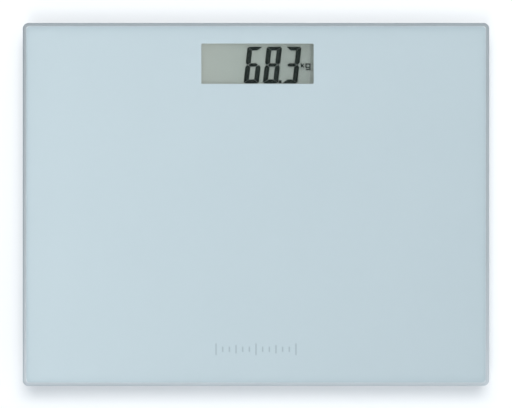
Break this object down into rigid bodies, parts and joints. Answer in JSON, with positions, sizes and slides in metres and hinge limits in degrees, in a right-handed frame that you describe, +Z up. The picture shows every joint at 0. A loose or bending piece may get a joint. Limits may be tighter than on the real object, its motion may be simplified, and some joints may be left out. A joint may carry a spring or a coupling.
{
  "type": "electronic bathroom scale",
  "caption": "Slim electronic bathroom scale: a colour-coated glass platform on a plastic case with load-cell feet and a digit display behind a clear window.",
  "frame": {"origin": "on the floor, under the middle of the glass platform", "axes": "+X to the right as it is read, +Y towards the display edge, +Z up"},
  "size_m": [0.28, 0.218, 0.022],
  "materials": {
    "clear_glass": "polished, ground edges",
    "platform_coat": "silk-screened silver-blue enamel seen through the glass",
    "mark_ink": "printed ink seen through the glass",
    "foam_tape": "matt foam tape",
    "case_plastic": "fine spark texture",
    "dark_foam": "matt foam",
    "polariser_film": "satin film",
    "thin_glass": "polished",
    "display_ink": "dark switched segments",
    "display_reflector": "grey-green satin reflector",
    "holder_plastic": "moulded",
    "dark_rubber": "matt",
    "board_laminate": "solder mask with tracks",
    "black_resin": "poured epoxy",
    "chip_ceramic": "fired",
    "solder": "bright solder",
    "plated_steel": "nickel plated",
    "black_plastic": "moulded",
    "red_plastic": "moulded",
    "grey_plastic": "moulded",
    "contact_brass": "stamped strip",
    "foot_plastic": "moulded",
    "pad_rubber": "matt, ringed",
    "spring_steel": "ground",
    "white_silicone": "poured",
    "wire_sleeve": "insulated"
  },
  "bodies": {
    "case": {"glass_platform": "clear_glass", "colour_coat": "platform_coat", "printed_mark": "mark_ink", "bond_tape": "foam_tape", "base_tray": "case_plastic", "display_gasket": "dark_foam", "lcd_polariser": "polariser_film", "lcd_front_glass": "thin_glass", "lcd_segments": "display_ink", "lcd_rear_glass": "thin_glass", "lcd_reflector": "display_reflector", "lcd_holder": "holder_plastic", "zebra_strip": "dark_rubber", "main_board": "board_laminate", "controller_blob": "black_resin", "board_parts": "chip_ceramic", "solder_joints": "solder", "board_screws": "plated_steel", "tact_switch": "black_plastic", "coin_cell": "plated_steel", "contact_plus": "contact_brass", "contact_minus": "contact_brass", "foot_collar_front_left": "case_plastic", "foot_collar_front_right": "case_plastic", "foot_collar_rear_left": "case_plastic", "foot_collar_rear_right": "case_plastic", "collar_screws_front_left": "plated_steel", "collar_screws_front_right": "plated_steel", "collar_screws_rear_left": "plated_steel", "collar_screws_rear_right": "plated_steel", "load_cell_front_left": "spring_steel", "load_cell_front_right": "spring_steel", "load_cell_rear_left": "spring_steel", "load_cell_rear_right": "spring_steel", "gauge_seal_front_left": "white_silicone", "gauge_seal_front_right": "white_silicone", "gauge_seal_rear_left": "white_silicone", "gauge_seal_rear_right": "white_silicone", "cell_wires_front_left": "wire_sleeve", "cell_wires_front_right": "wire_sleeve", "cell_wires_rear_left": "wire_sleeve", "cell_wires_rear_right": "wire_sleeve"},
    "foot_front_left": {"foot_shell_front_left": "foot_plastic", "foot_pad_front_left": "pad_rubber"},
    "foot_front_right": {"foot_shell_front_right": "foot_plastic", "foot_pad_front_right": "pad_rubber"},
    "foot_rear_left": {"foot_shell_rear_left": "foot_plastic", "foot_pad_rear_left": "pad_rubber"},
    "foot_rear_right": {"foot_shell_rear_right": "foot_plastic", "foot_pad_rear_right": "pad_rubber"},
    "unit_button": {"unit_button": "grey_plastic", "switch_plunger": "red_plastic"},
    "battery_cover": {"battery_cover": "case_plastic"}
  },
  "joints": [
    {"name": "foot_press_front_left", "type": "slide", "parent": "case", "child": "foot_front_left", "axis": [0, 0, 1], "range_m": [0, 0.0005], "stiffness_N_per_m": 100000, "deforming": ["load_cell_front_left"]},
    {"name": "foot_press_front_right", "type": "slide", "parent": "case", "child": "foot_front_right", "axis": [0, 0, 1], "range_m": [0, 0.0005], "stiffness_N_per_m": 100000, "deforming": ["load_cell_front_right"]},
    {"name": "foot_press_rear_left", "type": "slide", "parent": "case", "child": "foot_rear_left", "axis": [0, 0, 1], "range_m": [0, 0.0005], "stiffness_N_per_m": 100000, "deforming": ["load_cell_rear_left"]},
    {"name": "foot_press_rear_right", "type": "slide", "parent": "case", "child": "foot_rear_right", "axis": [0, 0, 1], "range_m": [0, 0.0005], "stiffness_N_per_m": 100000, "deforming": ["load_cell_rear_right"]},
    {"name": "unit_button_press", "type": "slide", "parent": "case", "child": "unit_button", "axis": [0, 0, 1], "range_m": [0, 0.0005], "stiffness_N_per_m": 1200, "springref_m": -0.0001},
    {"name": "battery_cover_hinge", "type": "hinge", "parent": "case", "child": "battery_cover", "pos_m": [0, 0.04, 0.004], "axis": [1, 0, 0], "range_deg": [0, 90]}
  ]
}
